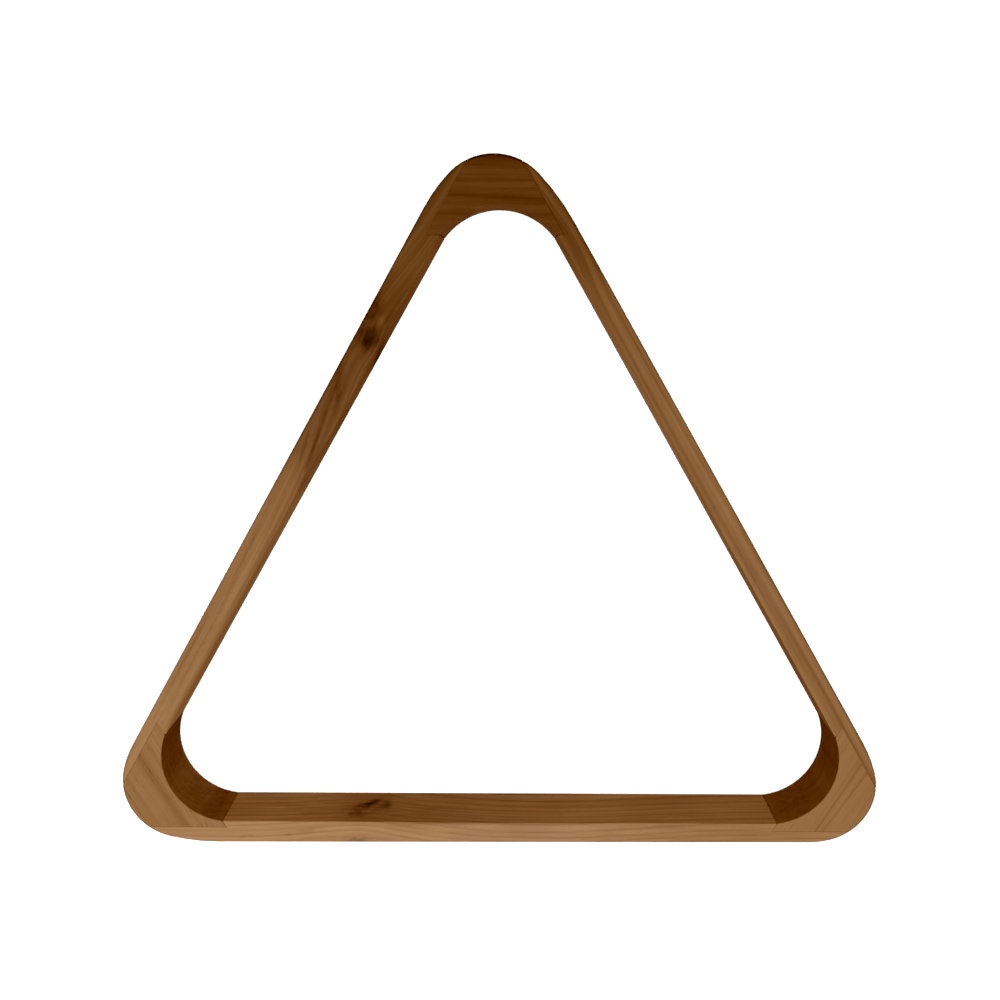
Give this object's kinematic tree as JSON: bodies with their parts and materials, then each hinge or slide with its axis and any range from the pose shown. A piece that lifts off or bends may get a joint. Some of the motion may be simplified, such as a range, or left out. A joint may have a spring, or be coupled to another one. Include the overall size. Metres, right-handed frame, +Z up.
{
  "type": "triangle rack",
  "caption": "Wooden triangle rack that gathers billiard balls: straight rails glued to corner blocks hollowed to a ball's curve.",
  "frame": {"origin": "middle of the bounding rectangle, on the flat underside that rests on the table", "axes": "+X along the front rail to the right, +Y from the front rail towards the apex, +Z up out of the table"},
  "size_m": [0.3236, 0.2876, 0.0286],
  "materials": {
    "front_rail_wood": "satin clear-finished brown hardwood, fine straight grain along the rail",
    "left_rail_wood": "satin clear-finished brown hardwood, fine straight grain along the rail",
    "right_rail_wood": "satin clear-finished brown hardwood, fine straight grain along the rail",
    "front_left_corner_block_wood": "satin clear-finished brown hardwood, grain across the corner",
    "front_right_corner_block_wood": "satin clear-finished brown hardwood, grain across the corner",
    "apex_corner_block_wood": "satin clear-finished brown hardwood, grain across the corner"
  },
  "bodies": {
    "root": {"front_rail": "front_rail_wood", "left_rail": "left_rail_wood", "right_rail": "right_rail_wood", "front_left_corner_block": "front_left_corner_block_wood", "front_right_corner_block": "front_right_corner_block_wood", "apex_corner_block": "apex_corner_block_wood"}
  },
  "joints": []
}
